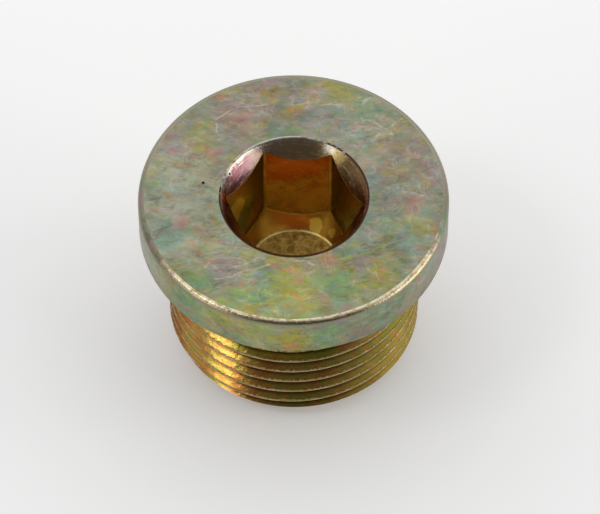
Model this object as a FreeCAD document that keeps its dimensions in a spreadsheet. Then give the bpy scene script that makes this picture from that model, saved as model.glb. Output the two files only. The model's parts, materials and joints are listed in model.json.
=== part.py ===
import FreeCAD, Part
import math
import os
import Sketcher

# A screw plug with a collar and a hexagon socket, for an M22 x 1.5 threaded port.
# It is one piece of steel. It stands on its threaded end, with the origin in the
# middle of the end face, +Z along the axis towards the socket and one flat of the
# socket facing +Y. Lengths are in millimetres, angles in degrees.

doc = FreeCAD.newDocument("ScrewPlug")

# Driving sizes

driving_sizes = {
    "collar_diameter": 26.6,
    "collar_thickness": 4.15,
    "collar_top_round": 0.5,
    "collar_lower_round": 0.2,
    "stud_length": 13.85,
    "thread_diameter": 21.85,
    "thread_end_chamfer": 1.8,
    "undercut_depth": 1.075,
    "undercut_width": 1.8,
    "undercut_angle": 30.0,
    "undercut_round": 0.6,
    "socket_across_flats": 10.1,
    "socket_depth": 10.5,
    "socket_floor_chamfer": 1.05,
    "mouth_margin": 0.5,
    "mouth_angle": 78.0,
}

sheet = doc.addObject("Spreadsheet::Sheet", "Sizes")
for row, (alias, size) in enumerate(driving_sizes.items(), start=1):
    sheet.set(f"A{row}", alias.replace("_", " "))
    sheet.set(f"B{row}", str(size))
    sheet.setAlias(f"B{row}", alias)
doc.recompute()

# Places that follow from the driving sizes, as expressions on the sheet

axis = "0"
end_face = "0"
collar_face = "Sizes.stud_length"
top_face = "(Sizes.stud_length + Sizes.collar_thickness)"
collar_radius = "Sizes.collar_diameter / 2"
thread_radius = "Sizes.thread_diameter / 2"
undercut_radius = "(Sizes.thread_diameter / 2 - Sizes.undercut_depth)"
undercut_floor_end = "(Sizes.stud_length - Sizes.undercut_width)"
undercut_run_out = "(Sizes.undercut_depth / tan(Sizes.undercut_angle * 1deg))"
socket_corner_radius = "(Sizes.socket_across_flats / 2 / cos(30deg))"
socket_floor = f"({top_face} - Sizes.socket_depth)"
socket_floor_radius = "(Sizes.socket_across_flats / 2 - Sizes.socket_floor_chamfer)"
mouth_radius = f"({socket_corner_radius} + Sizes.mouth_margin)"
mouth_cone_tip = f"({top_face} - {mouth_radius} / tan(Sizes.mouth_angle / 2 * 1deg))"


def value_of(expression):
    """Return the number that an expression on the sheet gives."""
    return float(sheet.evalExpression(expression))


# Sketches


def new_sketch(body, name, role):
    """Add a sketch on one of the body's own origin planes."""
    plane = next(f for f in body.Origin.OriginFeatures if f.Role == role)
    sketch = body.newObject("Sketcher::SketchObject", name)
    sketch.AttachmentSupport = (plane, "")
    sketch.MapMode = "FlatFace"
    return sketch


def constrain(sketch, *arguments):
    """Add one constraint and return its number."""
    return sketch.addConstraint(Sketcher.Constraint(*arguments))


def bind(sketch, constraint, expression):
    """Tie a sketch dimension to the sheet."""
    sketch.setExpression(f"Constraints[{constraint}]", expression)


def close_outline(sketch, corners):
    """Draw straight lines from corner to corner and back to the first."""
    for here, there in zip(corners, corners[1:] + corners[:1]):
        sketch.addGeometry(Part.LineSegment(here, there), False)
    for line in range(len(corners)):
        constrain(sketch, "Coincident", line, 2, (line + 1) % len(corners), 1)


def half_section(body, name, corners):
    """Draw a closed profile beside the axis from (radius, height) expressions."""
    sketch = new_sketch(body, name, "XZ_Plane")
    places = [FreeCAD.Vector(value_of(radius), value_of(height), 0) for radius, height in corners]
    close_outline(sketch, places)
    for line, (radius, height) in enumerate(corners):
        if radius == axis:
            constrain(sketch, "PointOnObject", line, 1, -2)
        else:
            bind(sketch, constrain(sketch, "DistanceX", -1, 1, line, 1, places[line].x), radius)
        if height == end_face:
            constrain(sketch, "PointOnObject", line, 1, -1)
        else:
            bind(sketch, constrain(sketch, "DistanceY", -1, 1, line, 1, places[line].y), height)
    return sketch


def regular_hexagon(body, name, corner_radius):
    """Draw a hexagon with a corner on +X, inside a construction circle."""
    sketch = new_sketch(body, name, "XY_Plane")
    reach = value_of(corner_radius)
    turns = [math.radians(60 * number) for number in range(6)]
    close_outline(sketch, [FreeCAD.Vector(reach * math.cos(t), reach * math.sin(t), 0) for t in turns])
    circle = sketch.addGeometry(Part.Circle(FreeCAD.Vector(), FreeCAD.Vector(0, 0, 1), reach), True)
    constrain(sketch, "Coincident", circle, 3, -1, 1)
    bind(sketch, constrain(sketch, "Radius", circle, reach), corner_radius)
    for line in range(6):
        constrain(sketch, "PointOnObject", line, 1, circle)
    for line in range(1, 6):
        constrain(sketch, "Equal", 0, line)
    constrain(sketch, "PointOnObject", 0, 1, -1)
    return sketch


# Features


def turned(body, kind, name, corners):
    """Revolve a half section right round the axis, to add or to cut."""
    sketch = half_section(body, f"{name}Profile", corners)
    feature = body.newObject(kind, name)
    feature.Profile = sketch
    feature.ReferenceAxis = (sketch, ["V_Axis"])
    feature.Angle = 360
    doc.recompute()
    return feature


def ring_edge(shape, radius, height):
    """Return the name of the circular edge with this radius at this height."""
    for number, edge in enumerate(shape.Edges, start=1):
        curve = edge.Curve
        if isinstance(curve, Part.Circle) and abs(curve.Radius - radius) < 1e-4:
            if abs(curve.Center.z - height) < 1e-4:
                return f"Edge{number}"
    raise ValueError(f"no ring edge of radius {radius} at height {height}")


def dressed(body, kind, name, radius, height, amount):
    """Round or bevel one ring edge, where amount is (property, expression)."""
    base = body.Tip
    feature = body.newObject(kind, name)
    feature.Base = (base, [ring_edge(base.Shape, value_of(radius), value_of(height))])
    feature.setExpression(*amount)
    doc.recompute()
    return feature


def check_cut(feature, volume_before):
    """Stop where a cut has taken nothing away."""
    if feature.Shape.Volume > volume_before - 0.001:
        raise ValueError(f"{feature.Name} cut nothing")


# The blank: a stud with a collar, turned from bar

plug = doc.addObject("PartDesign::Body", "Plug")
plug.Label = "plug_body"

blank = turned(plug, "PartDesign::Revolution", "Blank", [
    (axis, end_face),
    (thread_radius, end_face),
    (thread_radius, collar_face),
    (collar_radius, collar_face),
    (collar_radius, top_face),
    (axis, top_face),
])

# The undercut, where the thread runs out before the collar's sealing face

undercut = turned(plug, "PartDesign::Groove", "Undercut", [
    (thread_radius, collar_face),
    (undercut_radius, collar_face),
    (undercut_radius, undercut_floor_end),
    (thread_radius, f"{undercut_floor_end} - {undercut_run_out}"),
])
check_cut(undercut, blank.Shape.Volume)

# Edges of the stud and the collar

dressed(plug, "PartDesign::Fillet", "UndercutRoot",
        undercut_radius, collar_face, ("Radius", "Sizes.undercut_round"))
dressed(plug, "PartDesign::Chamfer", "ThreadEnd",
        thread_radius, end_face, ("Size", "Sizes.thread_end_chamfer"))
dressed(plug, "PartDesign::Fillet", "CollarTopEdge",
        collar_radius, top_face, ("Radius", "Sizes.collar_top_round"))
dressed(plug, "PartDesign::Fillet", "CollarLowerEdge",
        collar_radius, collar_face, ("Radius", "Sizes.collar_lower_round"))
turned_volume = plug.Shape.Volume

# The punch that forms the socket. Its end is turned to a 45 degree cone round a flat,
# so the six walls of the socket end in arcs and its floor is a cone round a flat disc.

punch_overrun = 1.0
punch_clear_radius = f"({socket_corner_radius} + {punch_overrun})"

punch = doc.addObject("PartDesign::Body", "Punch")
hexagon = regular_hexagon(punch, "PunchHexagon", socket_corner_radius)
hexagon.setExpression("AttachmentOffset.Base.z", socket_floor)
shank = punch.newObject("PartDesign::Pad", "PunchShank")
shank.Profile = hexagon
shank.setExpression("Length", f"Sizes.socket_depth + {punch_overrun}")
doc.recompute()
punch_end = turned(punch, "PartDesign::Groove", "PunchEnd", [
    (socket_floor_radius, socket_floor),
    (punch_clear_radius, socket_floor),
    (punch_clear_radius, f"{socket_floor} + {punch_clear_radius} - {socket_floor_radius}"),
])
check_cut(punch_end, shank.Shape.Volume)

socket = plug.newObject("PartDesign::Boolean", "Socket")
socket.Type = "Cut"
socket.setObjects([punch])
doc.recompute()
check_cut(socket, turned_volume)

# The countersunk mouth, which reaches a little past the socket's corners

mouth = turned(plug, "PartDesign::Groove", "SocketMouth", [
    (axis, mouth_cone_tip),
    (mouth_radius, top_face),
    (axis, top_face),
])
check_cut(mouth, socket.Shape.Volume)

# Check everything, then write the one solid

for item in doc.Objects:
    if {"Invalid", "Error"} & set(item.State):
        raise ValueError(f"{item.Name} failed: {item.State}")

os.makedirs("parts", exist_ok=True)
for node in (plug,):
    shape = node.Shape
    if shape.isNull() or not shape.isValid() or len(shape.Solids) != 1:
        raise ValueError(f"{node.Label} isn't one valid solid")
    shape.exportStep(f"parts/{node.Label}.step")
    box = shape.optimalBoundingBox()
    print(node.Label, "volume", round(shape.Volume, 1), "mm3, size",
          round(box.XLength, 3), round(box.YLength, 3), round(box.ZLength, 3))
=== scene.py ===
import json
import math
import bpy
import bmesh
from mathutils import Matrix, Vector


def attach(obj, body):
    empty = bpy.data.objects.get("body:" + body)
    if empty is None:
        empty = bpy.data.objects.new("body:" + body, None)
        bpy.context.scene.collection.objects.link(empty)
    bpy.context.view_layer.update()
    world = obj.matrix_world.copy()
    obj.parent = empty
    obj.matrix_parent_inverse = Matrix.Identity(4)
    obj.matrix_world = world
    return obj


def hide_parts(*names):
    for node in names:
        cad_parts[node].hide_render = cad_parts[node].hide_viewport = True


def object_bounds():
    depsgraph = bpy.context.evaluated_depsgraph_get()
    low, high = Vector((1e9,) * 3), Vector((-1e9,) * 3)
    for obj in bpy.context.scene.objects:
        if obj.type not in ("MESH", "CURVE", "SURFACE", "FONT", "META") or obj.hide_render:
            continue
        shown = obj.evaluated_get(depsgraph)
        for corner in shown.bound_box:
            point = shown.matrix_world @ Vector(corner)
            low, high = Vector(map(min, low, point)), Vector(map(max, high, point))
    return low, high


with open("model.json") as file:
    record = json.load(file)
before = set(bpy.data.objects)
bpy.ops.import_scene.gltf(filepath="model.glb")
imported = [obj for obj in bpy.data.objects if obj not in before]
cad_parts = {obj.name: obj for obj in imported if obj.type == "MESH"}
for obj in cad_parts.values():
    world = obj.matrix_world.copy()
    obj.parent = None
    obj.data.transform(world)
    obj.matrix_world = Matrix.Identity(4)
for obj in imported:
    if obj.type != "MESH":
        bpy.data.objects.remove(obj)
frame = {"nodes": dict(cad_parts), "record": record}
cadLow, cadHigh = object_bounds()
print("frame loaded:", list(frame["nodes"]))

mm = 0.001
mounts = {m["name"]: m for m in frame["record"]["mounts"]}

# the plug's outside, measured from the frame where it can be
plugSizes = {
    "top": cadHigh.z,
    "collarRadius": cadHigh.x,
    "collarFace": mounts["sealing_face"]["pos_m"][2],
    "threadRadius": mounts["thread"]["dims"]["r_mm"] * mm,
    "threadStart": mounts["thread"]["pos_m"][2],
    "threadLength": mounts["thread"]["dims"]["length_mm"] * mm,
    "undercutDepth": 1.075 * mm,
    "undercutFloor": 1.8 * mm,
    "topRound": 0.5 * mm,
    "lowerRound": 0.2 * mm,
    "undercutRound": 0.6 * mm,
    "segments": 192,
    "topSteps": 6,
    "lowerSteps": 3,
    "undercutSteps": 5,
    "stock": 0.03 * mm,  # left on the stud outside the crests, and cut off with the thread
    "smoothAngle": math.radians(28),
}
closeEnough = 0.002 * mm


# edit mode helpers

def deselectAll():
    if bpy.context.object and bpy.context.object.mode == "EDIT":
        bpy.ops.object.mode_set(mode="OBJECT")
    bpy.ops.object.select_all(action="DESELECT")


def makeActive(piece):
    deselectAll()
    piece.select_set(True)
    bpy.context.view_layer.objects.active = piece


def startEdit(piece, mode="EDGE"):
    makeActive(piece)
    bpy.ops.object.mode_set(mode="EDIT")
    bpy.ops.mesh.select_mode(type=mode)
    bpy.ops.mesh.select_all(action="DESELECT")


def endEdit():
    bpy.ops.object.mode_set(mode="OBJECT")


def recalcNormals(piece):
    startEdit(piece, "FACE")
    bpy.ops.mesh.select_all(action="SELECT")
    bpy.ops.mesh.normals_make_consistent(inside=False)
    endEdit()


def selectEdges(piece, wanted):
    # picks edges of the piece in edit mode by a test on the edge
    mesh = bmesh.from_edit_mesh(piece.data)
    for edge in mesh.edges:
        if wanted(edge):
            edge.select_set(True)
    mesh.select_flush_mode()
    bmesh.update_edit_mesh(piece.data)


def bevelRing(piece, radius, height, width, segments, middle=(0, 0)):
    # rounds the ring of edges that lies at this radius and height
    def onRing(vert):
        away = math.hypot(vert.co.x - middle[0], vert.co.y - middle[1])
        return abs(away - radius) < closeEnough and abs(vert.co.z - height) < closeEnough

    startEdit(piece)
    selectEdges(piece, lambda edge: all(onRing(v) for v in edge.verts))
    bpy.ops.mesh.bevel(offset=width, segments=segments, affect="EDGES", clamp_overlap=True)
    endEdit()


def turnedSolid(name, stations, segments):
    # a round solid grown ring by ring from a disc, as (radius, height) from the bottom up
    deselectAll()
    radius, height = stations[0]
    bpy.ops.mesh.primitive_circle_add(vertices=segments, radius=radius, fill_type="NGON",
                                      location=(0, 0, height))
    piece = bpy.context.object
    piece.name = name
    bpy.ops.object.transform_apply(location=True, rotation=True, scale=True)
    bpy.ops.object.mode_set(mode="EDIT")
    bpy.ops.mesh.select_mode(type="FACE")
    bpy.ops.mesh.select_all(action="SELECT")
    for nextRadius, nextHeight in stations[1:]:
        bpy.ops.mesh.extrude_region_move(TRANSFORM_OT_translate={"value": (0, 0, nextHeight - height)})
        if nextRadius != radius:
            scale = nextRadius / radius
            bpy.ops.transform.resize(value=(scale, scale, 1), center_override=(0, 0, nextHeight))
        radius, height = nextRadius, nextHeight
    endEdit()
    recalcNormals(piece)
    return piece


def combine(piece, tool, operation):
    # applies one exact boolean and throws the tool away
    makeActive(piece)
    cut = piece.modifiers.new("cut", "BOOLEAN")
    cut.operation = operation
    cut.solver = "EXACT"
    cut.object = tool
    bpy.ops.object.modifier_apply(modifier=cut.name)
    bpy.data.objects.remove(tool, do_unlink=True)


# the blank: end chamfer, stud, undercut and collar

def makeBlank(s):
    neck = s["threadRadius"] - s["undercutDepth"]
    threadEnd = s["threadStart"] + s["threadLength"]
    stock = s["stock"]
    outer = s["threadRadius"] + stock
    slope = s["undercutDepth"] / (s["collarFace"] - s["undercutFloor"] - threadEnd)
    blank = turnedSolid("screwPlug", [
        (s["threadRadius"] - s["threadStart"], 0),
        (outer, s["threadStart"] + stock),
        (outer, threadEnd - stock / slope),
        (neck, s["collarFace"] - s["undercutFloor"]),
        (neck, s["collarFace"]),
        (s["collarRadius"], s["collarFace"]),
        (s["collarRadius"], s["top"]),
    ], s["segments"])
    bevelRing(blank, s["collarRadius"], s["top"], s["topRound"], s["topSteps"])
    bevelRing(blank, s["collarRadius"], s["collarFace"], s["lowerRound"], s["lowerSteps"])
    bevelRing(blank, neck, s["collarFace"], s["undercutRound"], s["undercutSteps"])
    return blank


# the thread: one tooth wound up into a rod, then cut out of a sleeve

threadSizes = {
    "pitch": 1.5 * mm,
    "depth": 0.92 * mm,
    "crestWidth": 0.11 * mm,
    "rootWidth": 0.25 * mm,
    "frontCrest": 8.85 * mm,  # height of a crest on the side that faces the camera
    "frontTurn": math.radians(-86.5),  # that side, from +X
    "turns": 15,
    "turnsBelow": 4,  # turns wound before the end face is reached
    "joinReach": 0.001 * mm,
    "trimLow": -2 * mm,
    "trimBelowCollar": 1.5 * mm,
    "sleeveRadius": 12.2 * mm,
    "sleeveFoot": -1 * mm,
    "sleeveShort": 0.2 * mm,
    "sleeveSegments": 64,
}


def makeThreadSleeve(s, t):
    crest, root = s["threadRadius"], s["threadRadius"] - t["depth"]
    half = t["pitch"] / 2
    profile = [(root, -half), (root, -half + t["rootWidth"] / 2), (crest, -t["crestWidth"] / 2),
               (crest, t["crestWidth"] / 2), (root, half - t["rootWidth"] / 2), (root, half)]
    # the winding starts on +X, below the end face
    turnsToFront = t["frontTurn"] / (2 * math.pi)
    base = (t["frontCrest"] - turnsToFront * t["pitch"]) % t["pitch"] - t["turnsBelow"] * t["pitch"]
    deselectAll()
    bpy.ops.mesh.primitive_plane_add(size=2 * mm, location=(0, 0, 0))
    rod = bpy.context.object
    rod.name = "threadRod"
    bpy.ops.object.mode_set(mode="EDIT")
    bpy.ops.mesh.select_mode(type="VERT")
    bpy.ops.mesh.select_all(action="SELECT")
    bpy.ops.mesh.merge(type="CENTER")
    r, z = profile[0]
    bpy.ops.transform.translate(value=(r, 0, base + z))
    for nextR, nextZ in profile[1:]:
        bpy.ops.mesh.extrude_region_move(TRANSFORM_OT_translate={"value": (nextR - r, 0, nextZ - z)})
        r, z = nextR, nextZ
    endEdit()
    wind = rod.modifiers.new("wind", "SCREW")
    wind.axis = "Z"
    wind.angle = 2 * math.pi
    wind.screw_offset = t["pitch"]
    wind.iterations = t["turns"]
    wind.steps = s["segments"]
    wind.render_steps = s["segments"]
    bpy.ops.object.modifier_apply(modifier=wind.name)
    startEdit(rod, "VERT")
    bpy.ops.mesh.select_all(action="SELECT")
    bpy.ops.mesh.remove_doubles(threshold=t["joinReach"])  # joins each turn to the next
    endEdit()
    # trim both ends flat, which also closes them
    low, high = t["trimLow"], s["collarFace"] - t["trimBelowCollar"]
    for level, side in ((low, "inner"), (high, "outer")):
        startEdit(rod, "FACE")
        bpy.ops.mesh.select_all(action="SELECT")
        bpy.ops.mesh.bisect(plane_co=(0, 0, level), plane_no=(0, 0, 1), use_fill=True,
                            clear_inner=side == "inner", clear_outer=side == "outer")
        endEdit()
    recalcNormals(rod)
    sleeve = turnedSolid("threadSleeve", [(t["sleeveRadius"], t["sleeveFoot"]),
                                          (t["sleeveRadius"], high - t["sleeveShort"])],
                         t["sleeveSegments"])
    combine(sleeve, rod, "DIFFERENCE")
    return sleeve


# the socket: a hexagonal punch with a turned end, joined to the countersink's cone

socketSizes = {
    "acrossFlats": 10.1 * mm,
    "depth": 10.5 * mm,
    "floorChamfer": 1.05 * mm,
    "mouthMargin": 0.5 * mm,
    "mouthSlope": math.radians(51),
    "cornerRound": 0.14 * mm,
    "footRound": 0.1 * mm,
    "floorRound": 0.16 * mm,
    "lipRound": 0.06 * mm,
    "mouthRound": 0.12 * mm,
    "roundSteps": 3,
    "edgeSteps": 2,
    "mouthSteps": 5,
    "punchShort": 0.3 * mm,  # the punch ends this far under the top face, inside the mouth's cone
    "overrun": 1 * mm,
    "coneFoot": 2.4 * mm,
    "coneHead": 0.4 * mm,
    "wallSlope": 0.05,  # how far the faces lean where a wall meets a cone
    "coneSlopes": (0.55, 0.8),
    "runOut": (0.06 * mm, -0.03 * mm),  # the punch sat this far off the turned axis
}
socketCorner = socketSizes["acrossFlats"] / 2 / math.cos(math.radians(30))
socketFloor = plugSizes["top"] - socketSizes["depth"]
floorRadius = socketSizes["acrossFlats"] / 2 - socketSizes["floorChamfer"]
mouthRadius = socketCorner + socketSizes["mouthMargin"]


def steepness(face):
    return abs(face.normal.z)


def makeSocketTool(s, k):
    punchTop = s["top"] - k["punchShort"]
    punchFoot = socketFloor - k["overrun"]
    deselectAll()
    bpy.ops.mesh.primitive_cylinder_add(vertices=6, radius=socketCorner, depth=punchTop - punchFoot,
                                        location=(0, 0, (punchTop + punchFoot) / 2),
                                        rotation=(0, 0, math.radians(30)))
    punch = bpy.context.object
    punch.name = "socketTool"
    bpy.ops.object.transform_apply(location=True, rotation=True, scale=True)
    startEdit(punch)
    selectEdges(punch, lambda edge: abs(edge.verts[0].co.z - edge.verts[1].co.z) > k["overrun"])
    bpy.ops.mesh.bevel(offset=k["cornerRound"], segments=k["roundSteps"], affect="EDGES")
    endEdit()
    reach = socketCorner + k["overrun"]
    turning = turnedSolid("punchTurning", [(floorRadius, socketFloor),
                                           (reach, socketFloor + reach - floorRadius),
                                           (reach, s["top"] + k["overrun"])], s["segments"])
    bevelRing(turning, floorRadius, socketFloor, k["floorRound"], k["roundSteps"])
    combine(punch, turning, "INTERSECT")
    foot, head = k["coneFoot"], k["coneHead"]
    steep = math.tan(k["mouthSlope"])
    cone = turnedSolid("mouthCone", [(mouthRadius - foot, s["top"] - foot * steep),
                                     (mouthRadius + head, s["top"] + head * steep)], s["segments"])
    combine(punch, cone, "UNION")
    # round the feet of the six walls and the lip where they meet the cone
    middle = (socketFloor + s["top"]) / 2

    def betweenWallAndCone(edge, above):
        if len(edge.link_faces) != 2 or (edge.verts[0].co.z > middle) != above:
            return False
        flatter, steeper = sorted(steepness(f) for f in edge.link_faces)
        least, most = k["coneSlopes"]
        return flatter < k["wallSlope"] and least < steeper < most

    for above, width in ((False, k["footRound"]), (True, k["lipRound"])):
        startEdit(punch)
        selectEdges(punch, lambda edge: betweenWallAndCone(edge, above))
        bpy.ops.mesh.bevel(offset=width, segments=k["edgeSteps"], affect="EDGES")
        endEdit()
    startEdit(punch, "VERT")
    bpy.ops.mesh.select_all(action="SELECT")
    bpy.ops.transform.translate(value=(*k["runOut"], 0))
    endEdit()
    return punch


plug = makeBlank(plugSizes)
print("blank turned:", len(plug.data.polygons), "faces")
combine(plug, makeThreadSleeve(plugSizes, threadSizes), "DIFFERENCE")
print("thread cut:", len(plug.data.polygons), "faces")
combine(plug, makeSocketTool(plugSizes, socketSizes), "DIFFERENCE")
bevelRing(plug, mouthRadius, plugSizes["top"], socketSizes["mouthRound"], socketSizes["mouthSteps"],
          socketSizes["runOut"])
makeActive(plug)
bpy.ops.object.shade_smooth_by_angle(angle=plugSizes["smoothAngle"])
print("socket cut:", len(plug.data.polygons), "faces")


# material helpers

def tone(red, green, blue):
    # a display colour, 0 to 255, as the shader wants it
    def linear(value):
        v = value / 255
        return v / 12.92 if v <= 0.04045 else ((v + 0.055) / 1.055) ** 2.4
    return (linear(red), linear(green), linear(blue), 1)


def put(tree, kind, inputs, **settings):
    # adds a node, sets it up and wires or fills its inputs
    node = tree.nodes.new(kind)
    for key, value in settings.items():
        setattr(node, key, value)
    for key, value in inputs.items():
        if isinstance(value, bpy.types.NodeSocket):
            tree.links.new(value, node.inputs[key])
        else:
            node.inputs[key].default_value = value
    return node


def millimetres(tree, stretch=(1, 1, 1), shift=(0, 0, 0), turn=(0, 0, 0)):
    place = put(tree, "ShaderNodeTexCoord", {}).outputs["Object"]
    scale = [1000 * s for s in stretch]
    turned = put(tree, "ShaderNodeMapping", {0: place, 2: turn}).outputs[0]
    return put(tree, "ShaderNodeMapping", {0: turned, 1: shift, 3: scale}).outputs[0]


def noise(tree, place, scale, detail=3, roughness=0.5):
    return put(tree, "ShaderNodeTexNoise", {"Vector": place, "Scale": scale, "Detail": detail,
                                            "Roughness": roughness})


def cloud(tree, place, scale, detail=3, roughness=0.5):
    # one grey noise
    return noise(tree, place, scale, detail, roughness).outputs["Fac"]


def calc(tree, operation, a, b=0.0):
    return put(tree, "ShaderNodeMath", {0: a, 1: b}, operation=operation).outputs[0]


def plus(tree, a, b):
    return calc(tree, "ADD", a, b)


def minus(tree, a, b):
    return calc(tree, "SUBTRACT", a, b)


def times(tree, a, b):
    return calc(tree, "MULTIPLY", a, b)


def larger(tree, a, b):
    return calc(tree, "MAXIMUM", a, b)


def vector(tree, operation, a, b=(0, 0, 0)):
    node = put(tree, "ShaderNodeVectorMath", {0: a, 1: b}, operation=operation)
    givesNumber = operation in ("DISTANCE", "DOT_PRODUCT", "LENGTH")
    return node.outputs["Value" if givesNumber else "Vector"]


def scaled(tree, a, factor):
    return put(tree, "ShaderNodeVectorMath", {0: a, "Scale": factor}, operation="SCALE").outputs["Vector"]


def flattened(tree, place):
    return vector(tree, "MULTIPLY", place, (1, 1, 0))


def axesOf(tree, place):
    return put(tree, "ShaderNodeSeparateXYZ", {0: place}).outputs


def channels(tree, colour):
    return put(tree, "ShaderNodeSeparateColor", {0: colour}).outputs


def warp(tree, place, scale, amount, detail=2):
    # pushes the pattern about, so that it runs in wisps
    push = noise(tree, place, scale, detail).outputs["Color"]
    return vector(tree, "ADD", place, scaled(tree, vector(tree, "SUBTRACT", push, (0.5, 0.5, 0.5)), amount))


def spread(tree, value, low, high, toLow=0.0, toHigh=1.0):
    return put(tree, "ShaderNodeMapRange", {"Value": value, "From Min": low, "From Max": high,
                                            "To Min": toLow, "To Max": toHigh}).outputs[0]


def eitherWay(tree, value, amount):
    # a noise as a push of up to this amount, down or up
    return spread(tree, value, 0.3, 0.7, -amount, amount)


def thinLines(tree, value, width):
    # 1 along the middle contour of a noise, 0 a little away from it
    away = calc(tree, "ABSOLUTE", minus(tree, value, 0.5))
    return spread(tree, away, 0, width, 1, 0)


def ramp(tree, value, stops):
    node = put(tree, "ShaderNodeValToRGB", {"Fac": value})
    band = node.color_ramp
    while len(band.elements) < len(stops):
        band.elements.new(1)
    for element, (position, colour) in zip(band.elements, stops):
        element.position = position
        element.color = colour
    return node.outputs["Color"]


def mix(tree, amount, a, b, how="MIX"):
    node = put(tree, "ShaderNodeMix", {0: amount, 6: a, 7: b}, data_type="RGBA", blend_type=how)
    return node.outputs[2]


def relief(tree, height, depth):
    return put(tree, "ShaderNodeBump", {"Height": height, "Distance": depth}).outputs[0]


def newMetal(name):
    material = bpy.data.materials.new(name)
    material.use_nodes = True
    tree = material.node_tree
    shader = tree.nodes["Principled BSDF"]
    shader.inputs["Metallic"].default_value = 1
    return material, tree, shader


# near black, painted as the shade inside the small pits
pitShadeBlack = (0.01, 0.008, 0.005, 1)

# satin plating on the collar: a soft iridescent film in patches and strokes, with pale rubbed lines

collarFinish = {
    "back": tone(152, 146, 126),
    "front": tone(150, 150, 96),  # the film runs yellower towards the front
    "green": tone(118, 156, 118), "mauve": tone(164, 136, 142),
    "yellow": tone(166, 154, 56), "blue": tone(132, 150, 144),
    "orange": tone(190, 128, 84), "rose": tone(184, 118, 128),
    "teal": tone(120, 154, 140), "pale": tone(180, 182, 158),
    # a darker colour painted as shade on the collar's side face
    "dusk": tone(148, 124, 120), "lime": tone(132, 166, 78),
    "rubbed": tone(192, 186, 172), "vein": tone(100, 90, 62),
    # x, y, height and reach in mm, colour and strength of the larger stains; the three darker ones low on the
    # collar's side face are painted shade
    "stains": [(-10.5, -2.5, 18, 8.0, "pale", 0.5), (7.5, 7.0, 18, 5.0, "yellow", 0.14),
               (-5.3, 8.4, 18, 3.2, "mauve", 0.6), (-3.0, 10.2, 18, 1.8, "orange", 0.2),
               (3.3, 11.8, 18, 2.4, "yellow", 0.6), (5.8, 9.8, 18, 2.0, "green", 0.5),
               (-8.7, 5.8, 18, 1.8, "yellow", 0.32), (-11.3, 0.0, 18, 1.8, "teal", 0.4),
               (-11.0, -5.0, 18, 2.8, "teal", 0.65), (-9.3, -3.3, 18, 1.1, "rose", 0.6),
               (-5.4, -7.9, 18, 2.2, "mauve", 0.5), (-7.8, -9.6, 18, 2.0, "green", 0.6),
               (1.0, -10.0, 18, 3.4, "yellow", 0.4), (4.2, -9.0, 18, 2.2, "green", 0.6),
               (3.3, -6.5, 18, 1.0, "orange", 0.6), (6.2, -6.5, 18, 1.5, "mauve", 0.5),
               (8.0, -8.0, 18, 2.0, "yellow", 0.55), (10.0, -4.1, 18, 2.0, "teal", 0.65),
               (10.2, -0.4, 18, 1.1, "rose", 0.5), (-8.5, -10.2, 15.6, 2.4, "green", 0.75),
               (0.8, -13.3, 15.2, 2.2, "yellow", 0.8), (0.6, -13.3, 14.5, 1.1, "orange", 0.5),
               (3.8, -12.8, 15.8, 1.6, "green", 0.7), (8.5, -10.2, 15.8, 2.4, "teal", 0.4),
               (13.0, -2.5, 15.2, 3.6, "dusk", 0.6), (11.6, -6.6, 15.0, 2.4, "dusk", 0.45),
               (-12.9, -3.2, 15.2, 3.4, "dusk", 0.5), (10.9, -2.7, 18, 1.5, "yellow", 0.4)],
    "tintReach": 0.26, "tintStrength": 0.9,
    # colour, shift, turn in degrees, size, and how much more frequent towards the front
    "flecks": [("lime", (23, 31, 9), 8, 1.3, 0.07), ("orange", (3, 12, 50), 30, 1.0, 0.035),
               ("rose", (43, 8, 20), -20, 1.0, 0)],
    "fleckStrength": 0.55, "veinStrength": 0.42, "rubbedStrength": 0.4,
    # shift, turn in degrees, size and width of each set of rubbed lines
    "rubbedLines": [((9, 4, 2), 20, 0.5, 0.024), ((40, 21, 6), -24, 0.65, 0.03),
                    ((5, 63, 9), 75, 0.8, 0.03)],
    # x, y, height and reach in mm of the most rubbed places
    "rubbedAt": [(-5.7, 8.9, 18, 2.6), (0.4, 10.8, 18, 2.2), (6.2, 7.3, 18, 2.0), (-4.6, -7.4, 18, 2.6)],
    # the longest scratches on the top face, each from point to point in mm
    "scratches": [[(-7.4, 7.7), (-6.2, 8.7), (-5.1, 9.3), (-3.8, 9.5), (-2.0, 10.0)],
                  [(-7.0, 7.4), (-6.9, 5.6)], [(1.7, 10.1), (3.3, 10.0)],
                  [(5.5, 8.7), (8.1, 7.3), (6.7, 6.6)], [(7.7, 7.9), (8.8, 8.8)],
                  [(5.4, 10.0), (5.9, 11.0)], [(10.1, 1.2), (11.4, 0.4)],
                  [(-6.0, -9.1), (-4.4, -8.6), (-3.4, -7.9), (-1.6, -7.4)],
                  [(-4.6, -7.7), (-3.1, -6.8), (-2.1, -6.6)],
                  [(-7.1, -7.9), (-6.6, -7.3), (-6.1, -7.8)], [(0.6, -6.9), (2.0, -7.0)]],
    "scratchWidth": 0.12,
    "pit": (-7.8, 0.95, 18),
    "pitReach": 0.16, "pitDepth": 4.0,
    "levels": (0.55, 1.47), "grain": 0.08, "roughness": (0.38, 0.48), "relief": 0.015 * mm,
}


def drawn(tree, shift, turn, length, bend=1.0):
    # a place stretched along one direction and bent a little
    place = warp(tree, millimetres(tree, shift=shift, turn=(0, 0, math.radians(turn))), 0.4, bend, 2)
    return vector(tree, "MULTIPLY", place, (1 / length, 1, 1))


def strokes(tree, shift, turn, length, size, detail=3, rough=0.55, bend=1.0):
    return cloud(tree, drawn(tree, shift, turn, length, bend), size, detail, rough)


def flakes(tree, shift, turn, length, size):
    # patches with crisp borders, each with three values of its own
    place = drawn(tree, shift, turn, length, 3.0)
    cells = put(tree, "ShaderNodeTexVoronoi", {"Vector": place, "Scale": size})
    return channels(tree, cells.outputs["Color"])


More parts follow.
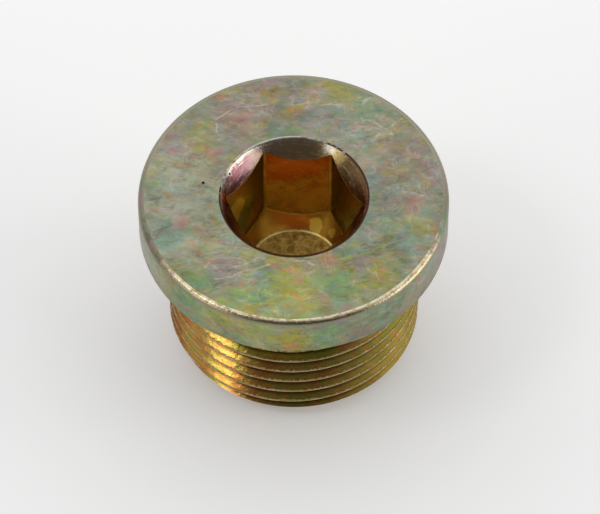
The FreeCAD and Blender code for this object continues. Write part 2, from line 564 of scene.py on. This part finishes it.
def weigh(tree, parts):
    # a signed sum of patterns, each taken from its middle
    total = 0.0
    for value, weight in parts:
        total = plus(tree, total, times(tree, minus(tree, value, 0.5), weight))
    return total


def tintBoth(tree, field, reach, strength, colour, above, below):
    # one colour where the field is high, the other where it is low
    colour = mix(tree, spread(tree, field, 0, reach, 0, strength), colour, above)
    return mix(tree, spread(tree, field, 0, -reach, 0, strength), colour, below)


def farFrom(tree, place, point):
    return vector(tree, "DISTANCE", place, point)


def besideLine(tree, place, points, width):
    # 1 on a line from point to point, seen from above, and 0 a little away from it
    flat = flattened(tree, place)
    total = 0.0
    for (x, y), (endX, endY) in zip(points, points[1:]):
        runX, runY = endX - x, endY - y
        size = runX ** 2 + runY ** 2
        since = vector(tree, "SUBTRACT", flat, (x, y, 0))
        share = spread(tree, vector(tree, "DOT_PRODUCT", since, (runX / size, runY / size, 0)), 0, 1)
        off = farFrom(tree, since, scaled(tree, (runX, runY, 0), share))
        total = larger(tree, total, spread(tree, off, width, 0.4 * width))
    return total


def greyLevel(tree, value):
    return put(tree, "ShaderNodeCombineColor", {0: value, 1: value, 2: value}).outputs[0]


def makeCollarMetal(c):
    material, tree, shader = newMetal("collarPlating")
    place = millimetres(tree)
    broad = noise(tree, warp(tree, place, 0.3, 2.0, 3), 0.12, 6, 0.66)
    broadOnes = channels(tree, broad.outputs["Color"])
    patch = flakes(tree, (3, 5, 1), 14, 2.0, 1.1)
    chip = flakes(tree, (11, 2, 7), -24, 2.4, 2.6)
    along = strokes(tree, (5, 1, 8), 12, 3.5, 1.1, 4, 0.65)
    slant = strokes(tree, (17, 2, 8), -38, 3.0, 1.0, 4, 0.65)
    # green against mauve, yellow against blue, light against dark
    tint = weigh(tree, [(broadOnes[0], 0.9), (along, 0.5), (patch[0], 0.13), (chip[0], 0.09),
                        (strokes(tree, (6, 6, 3), 25, 2.4, 2.4, 4, 0.7), 0.55)])
    warmth = weigh(tree, [(broadOnes[1], 0.9), (slant, 0.55), (patch[1], 0.13), (chip[1], 0.09),
                          (strokes(tree, (13, 7, 5), -12, 2.4, 2.2, 4, 0.7), 0.6)])
    light = weigh(tree, [(broadOnes[2], 1.0), (strokes(tree, (2, 9, 4), 5, 2.2, 1.2, 6, 0.68), 0.95),
                         (patch[2], 0.10), (chip[2], 0.08)])
    frontal = spread(tree, axesOf(tree, place)["Y"], 2, -13)
    colour = mix(tree, frontal, c["back"], c["front"])
    for field, above, below in ((tint, "green", "mauve"), (plus(tree, warmth, -0.05), "yellow", "blue")):
        colour = tintBoth(tree, field, c["tintReach"], c["tintStrength"], colour, c[above], c[below])
    smeared = warp(tree, place, 0.7, 2.6, 5)
    for x, y, z, reach, name, strength in c["stains"]:
        off = farFrom(tree, smeared, (x, y, z))
        colour = mix(tree, spread(tree, off, reach, 0.4 * reach, 0, strength), colour, c[name])
    # small vivid strokes
    for name, shift, turn, size, more in c["flecks"]:
        fleck = plus(tree, strokes(tree, shift, turn, 2.6, size, 3, 0.6, 2.0), times(tree, frontal, more))
        colour = mix(tree, spread(tree, fleck, 0.62, 0.70, 0, c["fleckStrength"]), colour, c[name])
    # dark veins and pale rubbed lines come in patches
    veins = thinLines(tree, strokes(tree, (8, 30, 4), -15, 4.0, 0.7, 3, 0.6, 1.5), 0.03)
    veinPatch = spread(tree, cloud(tree, millimetres(tree, shift=(31, 7, 3)), 0.45, 2), 0.46, 0.58)
    veins = times(tree, times(tree, veins, veinPatch), c["veinStrength"])
    colour = mix(tree, veins, colour, c["vein"])
    rubbed, marked = 0.0, 0.0
    for x, y, z, reach in c["rubbedAt"]:
        off = farFrom(tree, smeared, (x, y, z))
        marked = larger(tree, marked, spread(tree, off, reach, 0.6 * reach))
    for shift, turn, size, width in c["rubbedLines"]:
        line = thinLines(tree, strokes(tree, shift, turn, 4.5, size, 3, 0.6, 1.6), width)
        where = cloud(tree, millimetres(tree, shift=(shift[1], shift[0], 0)), 0.7, 3)
        rubbed = larger(tree, rubbed, times(tree, line, spread(tree, where, 0.52, 0.62)))
    line = thinLines(tree, strokes(tree, (21, 33, 4), 12, 2.6, 0.42, 4, 0.6, 1.2), 0.035)
    rubbed = larger(tree, rubbed, times(tree, line, marked))
    # the longest scratches wander a little and break off here and there
    bent = warp(tree, warp(tree, place, 0.6, 1.0, 2), 3.0, 0.35, 3)
    broken = spread(tree, cloud(tree, place, 1.6, 3, 0.6), 0.38, 0.54, 0.3, 1.7)
    for points in c["scratches"]:
        line = besideLine(tree, bent, points, c["scratchWidth"])
        rubbed = larger(tree, rubbed, times(tree, line, broken))
    colour = mix(tree, times(tree, rubbed, c["rubbedStrength"]), colour, c["rubbed"])
    grain = cloud(tree, place, 4, 4, 0.7)
    level = plus(tree, spread(tree, light, -0.4, 0.4, *c["levels"]), eitherWay(tree, grain, c["grain"]))
    colour = mix(tree, 1, colour, greyLevel(tree, level), "MULTIPLY")
    # the pit is painted black as its shade, over a small dent in the relief
    pit = spread(tree, farFrom(tree, place, c["pit"]), c["pitReach"], 0.5 * c["pitReach"])
    colour = mix(tree, pit, colour, pitShadeBlack)
    tree.links.new(colour, shader.inputs["Base Color"])
    tree.links.new(spread(tree, grain, 0.3, 0.7, *c["roughness"]), shader.inputs["Roughness"])
    bumps = plus(tree, times(tree, grain, 0.5), times(tree, rubbed, 0.3))
    bumps = minus(tree, bumps, times(tree, pit, c["pitDepth"]))
    tree.links.new(relief(tree, bumps, c["relief"]), shader.inputs["Normal"])
    return material


# the collar's tumbled edge, rubbed bright towards the front

edgeFinish = {"metal": tone(228, 214, 184), "stain": tone(160, 140, 92), "roughness": 0.25,
              # brown is painted shade for the left of the edge
              "brown": tone(104, 94, 70), "back": tone(182, 176, 152),
              "film": [(0.38, tone(132, 146, 122)), (0.5, tone(148, 144, 120)), (0.62, tone(158, 138, 134))],
              "filmRoughness": 0.42, "relief": 0.028 * mm,
              "filmFrom": (-7.4, -5.2),  # the film begins this far to the front, in mm
              "goldenDepth": (0.10, 0.17), "filmDepth": (0.22, 0.29)}  # below the top face, in mm


def makeEdgeMetal(c):
    material, tree, shader = newMetal("edgePlating")
    place = millimetres(tree)
    # filmed like the collar at the back and low down
    axes = axesOf(tree, place)
    ragged = cloud(tree, place, 0.9, 5, 0.7)
    leant = minus(tree, axes["Y"], times(tree, axes["X"], 0.17))
    filmed = spread(tree, plus(tree, leant, eitherWay(tree, ragged, 2.5)), *c["filmFrom"])
    top = plugSizes["top"] / mm
    height = plus(tree, axes["Z"], eitherWay(tree, ragged, 0.05))
    above, below = c["filmDepth"]
    filmed = larger(tree, filmed, spread(tree, height, top - above, top - below))
    above, below = c["goldenDepth"]
    patch = spread(tree, cloud(tree, place, 1.4, 4, 0.7), 0.46, 0.6, 0, 0.8)
    patch = larger(tree, patch, spread(tree, height, top - above, top - below, 0, 0.8))
    rubbed = mix(tree, patch, c["metal"], c["stain"])
    film = ramp(tree, cloud(tree, warp(tree, place, 0.5, 2), 0.5, 4, 0.6), c["film"])
    # painted shade darkens the film on the left, and the film is paler at the back
    dim = times(tree, spread(tree, axes["X"], -8, -11), spread(tree, ragged, 0.35, 0.6, 0, 0.6))
    dim = times(tree, dim, spread(tree, axes["Y"], -1.5, -3.5))
    film = mix(tree, dim, film, c["brown"])
    film = mix(tree, spread(tree, axes["Y"], 0, 5, 0, 0.7), film, c["back"])
    tree.links.new(mix(tree, filmed, rubbed, film), shader.inputs["Base Color"])
    tree.links.new(spread(tree, filmed, 0, 1, c["roughness"], c["filmRoughness"]), shader.inputs["Roughness"])
    tree.links.new(relief(tree, cloud(tree, place, 4.5, 4, 0.65), c["relief"]), shader.inputs["Normal"])
    return material


# the countersink, turned after punching: its film changes round the cone, with a pale strip and a pink band
# that also paint in the lamps' highlights, and is worn near the lip

sinkFinish = {
    # film colour round the cone; its pale strip and pink band also paint in the lamps' highlights
    "round": [(0.00, tone(136, 95, 70)), (0.08, tone(154, 118, 78)), (0.14, tone(141, 119, 75)),
              (0.17, tone(164, 147, 100)), (0.20, tone(184, 156, 112)), (0.31, tone(188, 157, 126)),
              (0.36, tone(150, 125, 120)), (0.41, tone(122, 78, 86)), (0.46, tone(121, 78, 82)),
              (0.56, tone(150, 99, 79)), (0.75, tone(138, 96, 78)), (1.00, tone(136, 95, 70))],
    "worn": tone(206, 202, 188),
    "scratch": tone(232, 218, 192),
    "spots": [(-2.9, 5.3, 17.4, 0.5), (2.75, 5.6, 17.7, 0.8)],  # x, y, height and reach in mm
    "pit": (-5.62, 2.25, 17.7),
    "glint": (-5.88, -0.2, 17.45, 0.48),  # a painted red glint at the socket's left corner
    "red": tone(255, 118, 54),
    "haloReach": 0.26, "pitReach": 0.16, "pitFloor": 0.1,
    "wornStrength": 0.72, "markStrength": 0.48,
    "roughness": 0.22, "relief": 0.014 * mm,
}


def makeSinkMetal(c):
    material, tree, shader = newMetal("sinkPlating")
    place = millimetres(tree)
    axes = axesOf(tree, place)
    specks = cloud(tree, place, 2.2, 5, 0.7)
    blur = eitherWay(tree, cloud(tree, place, 0.6, 4, 0.6), 0.03)
    turn = spread(tree, calc(tree, "ARCTAN2", axes["Y"], axes["X"]), -math.pi, math.pi, -0.5, 0.5)
    turn = put(tree, "ShaderNodeMath", {0: plus(tree, turn, blur), 1: 1, 2: 0}, operation="WRAP").outputs[0]
    film = ramp(tree, turn, c["round"])
    # rubbed through near the lip, most of all at the back left, where the pale wear also paints in a white
    # highlight
    top = plugSizes["top"] / mm
    back = minus(tree, axes["Y"], axes["X"])
    edgeward = plus(tree, spread(tree, axes["Z"], top - 0.75, top), eitherWay(tree, specks, 0.22))
    worn = times(tree, spread(tree, edgeward, 0.55, 0.85), spread(tree, back, 3.0, 8.0))
    rough = warp(tree, place, 1.8, 0.5, 4)
    # worn spots by the back corners, which also paint in the corners' glints
    for x, y, z, reach in c["spots"]:
        worn = larger(tree, worn, spread(tree, farFrom(tree, rough, (x, y, z)), reach, 0.4 * reach))
    film = mix(tree, times(tree, worn, c["wornStrength"]), film, c["worn"])
    # a painted red glint at the socket's left corner
    x, y, z, reach = c["glint"]
    film = mix(tree, spread(tree, farFrom(tree, rough, (x, y, z)), reach, 0.7 * reach), film, c["red"])
    # fine turning marks that run round the cone
    marks = cloud(tree, millimetres(tree, stretch=(0.5, 0.5, 9)), 1.0, 3, 0.6)
    marks = times(tree, spread(tree, marks, 0.54, 0.64), spread(tree, specks, 0.42, 0.56))
    film = mix(tree, times(tree, marks, c["markStrength"]), film, c["scratch"])
    # a pit, painted black as its shade, with a painted bright glint round its rim
    off = farFrom(tree, place, c["pit"])
    film = mix(tree, spread(tree, off, c["haloReach"], c["pitReach"], 0, 0.45), film, c["worn"])
    film = mix(tree, spread(tree, off, c["pitReach"], c["pitFloor"]), film, pitShadeBlack)
    tree.links.new(film, shader.inputs["Base Color"])
    shader.inputs["Roughness"].default_value = c["roughness"]
    bumps = plus(tree, cloud(tree, place, 2.5, 4, 0.6), times(tree, marks, 0.4))
    tree.links.new(relief(tree, bumps, c["relief"]), shader.inputs["Normal"])
    return material


# the socket's walls and floor, deep golden brown, redder near the mouth and mottled on the floor

socketFinish = {"gold": tone(206, 172, 102), "red": tone(194, 114, 50), "olive": tone(188, 170, 102),
                "vein": tone(128, 92, 44), "sides": tone(232, 252, 255), "glow": tone(255, 226, 128),
                "floorDark": tone(150, 120, 54), "floorPale": tone(232, 202, 120),
                "roughness": 0.2, "floorRoughness": 0.42, "relief": 0.02 * mm,
                # places in mm: the rise of the red, the side walls, the painted golden reflection, the
                # floor's edge
                "blushHeights": (11.5, 15.5), "sidesFrom": (2.85, 3.1), "sidesAbove": (8.3, 9.5),
                "glowAt": (-5.2, 1.1, 13.7), "glowReach": (1.6, 1.2), "floorEdge": (0.12, 0.04)}


def makeSocketMetal(c):
    material, tree, shader = newMetal("socketPlating")
    place = millimetres(tree)
    axes = axesOf(tree, place)
    wavy = warp(tree, place, 0.5, 1.5)
    wall = ramp(tree, cloud(tree, wavy, 0.35, 4, 0.55), [(0.4, c["olive"]), (0.6, c["gold"])])
    # redder towards the mouth, but hardly so on the side walls
    uneven = eitherWay(tree, cloud(tree, place, 0.6), 0.5)
    blush = plus(tree, spread(tree, axes["Z"], *c["blushHeights"]), uneven)
    aside = calc(tree, "ABSOLUTE", minus(tree, axes["X"], socketSizes["runOut"][0] / mm))
    onSides = times(tree, spread(tree, aside, *c["sidesFrom"]), spread(tree, axes["Z"], *c["sidesAbove"]))
    blushed = times(tree, spread(tree, blush, 0.2, 0.8), spread(tree, onSides, 0, 1, 1, 0.25))
    wall = mix(tree, blushed, wall, c["red"])
    cracks = thinLines(tree, cloud(tree, wavy, 0.45, 2), 0.02)
    wall = mix(tree, times(tree, cracks, 0.5), wall, c["vein"])
    # painted shade: the side walls are multiplied a little darker, most of all in red
    wall = mix(tree, onSides, wall, mix(tree, 1, wall, c["sides"], "MULTIPLY"))
    # a painted golden reflection beside the left corner
    glow = farFrom(tree, warp(tree, place, 0.8, 0.8), c["glowAt"])
    wall = mix(tree, spread(tree, glow, *c["glowReach"]), wall, c["glow"])
    mottle = cloud(tree, warp(tree, place, 1.2, 1.0), 1.8, 5, 0.7)
    bottom = ramp(tree, mottle, [(0.38, c["floorDark"]), (0.64, c["floorPale"])])
    over, under = (socketFloor / mm + rise for rise in c["floorEdge"])
    onFloor = spread(tree, axes["Z"], over, under)
    tree.links.new(mix(tree, onFloor, wall, bottom), shader.inputs["Base Color"])
    roughness = spread(tree, onFloor, 0, 1, c["roughness"], c["floorRoughness"])
    tree.links.new(roughness, shader.inputs["Roughness"])
    tree.links.new(relief(tree, cloud(tree, place, 1.6, 4, 0.6), c["relief"]), shader.inputs["Normal"])
    return material


# the cone round the socket's floor, smoother and more amber

coneFinish = {"amber": tone(204, 162, 88), "brown": tone(166, 120, 62), "gold": tone(236, 206, 120),
              "patches": [(1.7, 4.1, 8.0, 0.8), (3.1, 3.3, 8.1, 0.5)],  # x, y, height and reach in mm
              "roughness": 0.26}


def makeConeMetal(c):
    material, tree, shader = newMetal("conePlating")
    place = millimetres(tree)
    cloudy = cloud(tree, warp(tree, place, 0.5, 1.5), 0.55)
    colour = mix(tree, spread(tree, cloudy, 0.4, 0.58), c["brown"], c["amber"])
    curled = warp(tree, place, 1.1, 1.4, 3)
    # painted golden highlights on the cone's back right
    for x, y, z, reach in c["patches"]:
        patch = spread(tree, farFrom(tree, curled, (x, y, z)), reach, 0.8 * reach)
        colour = mix(tree, patch, colour, c["gold"])
    tree.links.new(colour, shader.inputs["Base Color"])
    shader.inputs["Roughness"].default_value = c["roughness"]
    return material


# the socket's rounded corners and feet are painted a paler gold, as their highlights

cornerHighlightFinish = {"metal": tone(216, 196, 128), "stain": tone(184, 152, 86), "roughness": 0.34}


def makeCornerHighlightMetal(c):
    material, tree, shader = newMetal("cornerPlating")
    patch = spread(tree, cloud(tree, millimetres(tree), 0.9, 3, 0.6), 0.42, 0.6)
    tree.links.new(mix(tree, patch, c["metal"], c["stain"]), shader.inputs["Base Color"])
    shader.inputs["Roughness"].default_value = c["roughness"]
    return material


# the lip of the mouth, painted bright at the back and left as its highlight, and dark brown elsewhere as
# painted shade

lipFinish = {"bright": tone(200, 194, 178), "plain": tone(74, 54, 46), "roughness": 0.3,
             "relief": 0.015 * mm}


def makeLipMetal(c):
    material, tree, shader = newMetal("lipPlating")
    place = millimetres(tree)
    axes = axesOf(tree, place)
    # the mask called worn here paints the lip's highlight, brightest at the back and left
    worn = minus(tree, times(tree, axes["Y"], 0.9), times(tree, axes["X"], 0.5))
    ragged = eitherWay(tree, cloud(tree, place, 1.6, 5, 0.75), 2.5)
    worn = spread(tree, plus(tree, worn, ragged), 3.2, 6)
    tree.links.new(mix(tree, worn, c["plain"], c["bright"]), shader.inputs["Base Color"])
    shader.inputs["Roughness"].default_value = c["roughness"]
    tree.links.new(relief(tree, cloud(tree, place, 4, 3, 0.6), c["relief"]), shader.inputs["Normal"])
    return material


# the thread: golden flanks, with painted shade down in the roots, under worn grey crests

threadFinish = {"gold": tone(182, 150, 72), "olive": tone(158, 142, 62), "rust": tone(176, 122, 62),
                "green": tone(134, 146, 60), "orange": tone(190, 122, 60),
                "root": tone(130, 110, 92), "shade": tone(190, 170, 160), "crest": tone(196, 182, 146),
                "roughness": 0.17, "crestRoughness": 0.34, "relief": 0.025 * mm,
                # depths under the crests in mm, and how ragged the worn crests are
                "rootDepth": (0.35, 0.65), "crestDepth": (0.09, 0.03), "ragged": 0.09,
                "endFace": (0.4, 1.6)}  # the roots stay light down here, at the end face


def makeThreadMetal(c, s):
    material, tree, shader = newMetal("threadPlating")
    place = millimetres(tree)
    # coppery on the left, olive on the right, with small green and orange marks
    axes = axesOf(tree, place)
    patch = cloud(tree, warp(tree, place, 0.4, 2), 0.35, 5, 0.6)
    patch = plus(tree, patch, spread(tree, axes["X"], -10, 8, -0.09, 0.08))
    flank = ramp(tree, patch, [(0.36, c["rust"]), (0.5, c["gold"]), (0.6, c["olive"])])
    marble = noise(tree, warp(tree, place, 1.0, 1.2), 1.1, 4, 0.6)
    mottles = channels(tree, marble.outputs["Color"])
    flank = mix(tree, spread(tree, mottles[0], 0.56, 0.68, 0, 0.6), flank, c["green"])
    flank = mix(tree, spread(tree, mottles[1], 0.54, 0.66, 0, 0.7), flank, c["orange"])
    specks = cloud(tree, place, 3.6, 4, 0.75)
    radius = vector(tree, "LENGTH", flattened(tree, place))
    outer = s["threadRadius"] / mm
    # painted shade down in the roots, where the turns shade each other; it fades out near the end face
    deep = spread(tree, radius, *(outer - depth for depth in c["rootDepth"]))
    deep = times(tree, deep, spread(tree, axes["Z"], *c["endFace"]))
    flank = mix(tree, deep, flank, mix(tree, 1, flank, c["root"], "MULTIPLY"))
    # painted shade darkens the flanks on the far left
    leftSideShade = spread(tree, plus(tree, axes["X"], eitherWay(tree, specks, 1)), -8.5, -10.5, 0, 0.8)
    flank = mix(tree, leftSideShade, flank, mix(tree, 1, flank, c["shade"], "MULTIPLY"))
    worn = plus(tree, radius, eitherWay(tree, specks, c["ragged"]))
    worn = spread(tree, worn, *(outer - depth for depth in c["crestDepth"]))
    rubbed = spread(tree, cloud(tree, place, 0.8, 4, 0.65), 0.4, 0.6, 0.25, 1)
    tree.links.new(mix(tree, times(tree, worn, rubbed), flank, c["crest"]), shader.inputs["Base Color"])
    tree.links.new(spread(tree, worn, 0, 1, c["roughness"], c["crestRoughness"]), shader.inputs["Roughness"])
    bumps = plus(tree, cloud(tree, place, 1.6, 4, 0.65), times(tree, times(tree, worn, specks), 2.0))
    bumps = plus(tree, bumps, times(tree, cloud(tree, place, 6, 3, 0.6), 0.2))
    tree.links.new(relief(tree, bumps, c["relief"]), shader.inputs["Normal"])
    return material


# each zone of the plug gets its own finish by place and slope

zoneLimits = {
    "near": 0.02 * mm,
    "level": 0.995,  # slopes are the upward part of a face's direction
    "round": 0.03,
    "lip": 0.65,
    "sink": 0.5,
    "sinkDepth": 2.2 * mm,
    "wall": 0.02,
    "wallTurn": 5,  # degrees from the nearest flat
    "cone": (0.65, 0.75),
    "corner": (0.1, 0.98),
    "threadReach": floorRadius + 3 * mm,
    "collarReach": mouthRadius + 1 * mm,
    "lipReach": mouthRadius - 0.5 * socketSizes["mouthRound"],
}


def zoneOf(face, s, z):
    radius = math.hypot(face.center.x, face.center.y)
    offX, offY = socketSizes["runOut"]
    away = math.hypot(face.center.x - offX, face.center.y - offY)
    height, slope = face.center.z, face.normal.z
    # how far the face is turned from the nearest of the six flats
    turned = math.degrees(math.atan2(face.normal.y, face.normal.x)) % 60 - 30
    onTop = height > s["top"] - z["near"]
    if abs(slope) > z["level"] and (onTop or abs(height - s["collarFace"]) < z["near"]):
        return "collar"
    if height < z["near"] or height < s["collarFace"] and radius > z["threadReach"]:
        return "thread"
    if radius > z["collarReach"]:
        onRound = radius > s["collarRadius"] - s["topRound"] and slope > z["round"]
        return "edge" if onRound else "collar"
    if away > z["lipReach"] and slope > z["lip"]:
        return "lip"
    if height > s["top"] - z["sinkDepth"] and slope > z["sink"]:
        return "sink"
    if slope < z["wall"] and abs(turned) > z["wallTurn"]:
        return "corner"
    if z["cone"][0] <= slope <= z["cone"][1]:
        return "cone"
    if z["corner"][0] < slope < z["corner"][1]:
        return "corner"
    return "socket"


def finishPlug(piece, s):
    makers = {"collar": makeCollarMetal(collarFinish), "edge": makeEdgeMetal(edgeFinish),
              "lip": makeLipMetal(lipFinish), "sink": makeSinkMetal(sinkFinish),
              "socket": makeSocketMetal(socketFinish), "cone": makeConeMetal(coneFinish),
              "corner": makeCornerHighlightMetal(cornerHighlightFinish), "thread": makeThreadMetal(threadFinish, s)}
    zones = list(makers)
    piece.data.materials.clear()
    for material in makers.values():
        piece.data.materials.append(material)
    for face in piece.data.polygons:
        face.material_index = zones.index(zoneOf(face, s, zoneLimits))


finishPlug(plug, plugSizes)
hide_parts("plug_body")
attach(plug, "root")
print("finishes on")

# camera at the photograph's angle

cameraSetup = {
    "place": (14.967 * mm, -235.834 * mm, 339.066 * mm),
    "turn": (35.6037, 0.0955, 3.3667),
    "lens": 280.13,
    "clipStart": 0.01,
}
cameraData = bpy.data.cameras.new("camera")
cameraData.lens = cameraSetup["lens"]
cameraData.clip_start = cameraSetup["clipStart"]
camera = bpy.data.objects.new("camera", cameraData)
camera.location = cameraSetup["place"]
camera.rotation_euler = [math.radians(a) for a in cameraSetup["turn"]]
bpy.context.scene.collection.objects.link(camera)
bpy.context.scene.camera = camera

# studio: pale floor, a soft box on each side, a room that is bright behind and dim in front

studio = {
    "floor": (0.9, 0.9, 0.9, 1),
    "floorSize": 6,
    "floorRoughness": 0.9,
    # the room's light, by how far a direction points away from the camera's side, -1 to 1
    "room": [(-0.45, 0.13), (-0.25, 0.42), (0.02, 0.85), (0.40, 1.00)],
    "horizon": 0.5,  # how bright the room is low down, and overhead
    "overhead": 1.05,
    "backGlow": 0.27,  # what the camera sees of the floor over its own shading, behind and in front
    "frontGlow": 0.19,
    "glowDepths": (-10, 45),  # in mm, from the front of the floor to the back
    # azimuth from the camera's side towards +X, elevation, distance, width, height, brightness
    "boxes": {
        "leftHigh": (-68, 54, 0.5, 0.12, 0.13, 4.0),
        "leftLow": (-54, 19, 0.5, 0.24, 0.22, 1.9),
        "rightBox": (80, 16, 0.5, 0.37, 0.26, 2.6),
    },
}


def addSoftBox(name, azimuth, elevation, distance, width, height, brightness):
    a, e = math.radians(azimuth), math.radians(elevation)
    away = Vector((math.sin(a) * math.cos(e), -math.cos(a) * math.cos(e), math.sin(e)))
    data = bpy.data.lights.new(name, "AREA")
    data.shape = "RECTANGLE"
    data.size, data.size_y = width, height
    data.energy = brightness * math.pi * width * height
    lamp = bpy.data.objects.new(name, data)
    lamp.location = away * distance
    lamp.rotation_euler = away.to_track_quat("Z", "Y").to_euler()
    bpy.context.scene.collection.objects.link(lamp)


for name, values in studio["boxes"].items():
    addSoftBox(name, *values)


def makeFloorPaint(c):
    # matt paint, lifted a little for the camera and for reflections only
    material = bpy.data.materials.new("floorPaint")
    material.use_nodes = True
    tree = material.node_tree
    shader = tree.nodes["Principled BSDF"]
    shader.inputs["Base Color"].default_value = c["floor"]
    shader.inputs["Roughness"].default_value = c["floorRoughness"]
    rays = put(tree, "ShaderNodeLightPath", {}).outputs
    seen = larger(tree, rays["Is Glossy Ray"], rays["Is Transmission Ray"])
    seen = larger(tree, rays["Is Camera Ray"], seen)
    depth = axesOf(tree, millimetres(tree))["Y"]
    glow = spread(tree, depth, *c["glowDepths"], c["frontGlow"], c["backGlow"])
    shader.inputs["Emission Color"].default_value = (1, 1, 1, 1)
    tree.links.new(times(tree, seen, glow), shader.inputs["Emission Strength"])
    return material


deselectAll()
bpy.ops.mesh.primitive_plane_add(size=studio["floorSize"], location=(0, 0, 0))
floor = bpy.context.object
floor.name = "floor"
floor.data.materials.append(makeFloorPaint(studio))

world = bpy.data.worlds.new("room")
world.use_nodes = True
tree = world.node_tree
ray = put(tree, "ShaderNodeTexCoord", {}).outputs["Generated"]
aim = axesOf(tree, ray)
stops = [((place + 1) / 2, (light, light, light, 1)) for place, light in studio["room"]]
tree.links.new(ramp(tree, spread(tree, aim["Y"], -1, 1), stops), tree.nodes["Background"].inputs["Color"])
strength = spread(tree, aim["Z"], 0.1, 0.9, studio["horizon"], studio["overhead"])
tree.links.new(strength, tree.nodes["Background"].inputs["Strength"])
bpy.context.scene.world = world
bpy.context.scene.view_settings.view_transform = "Standard"
print("camera and studio ready")
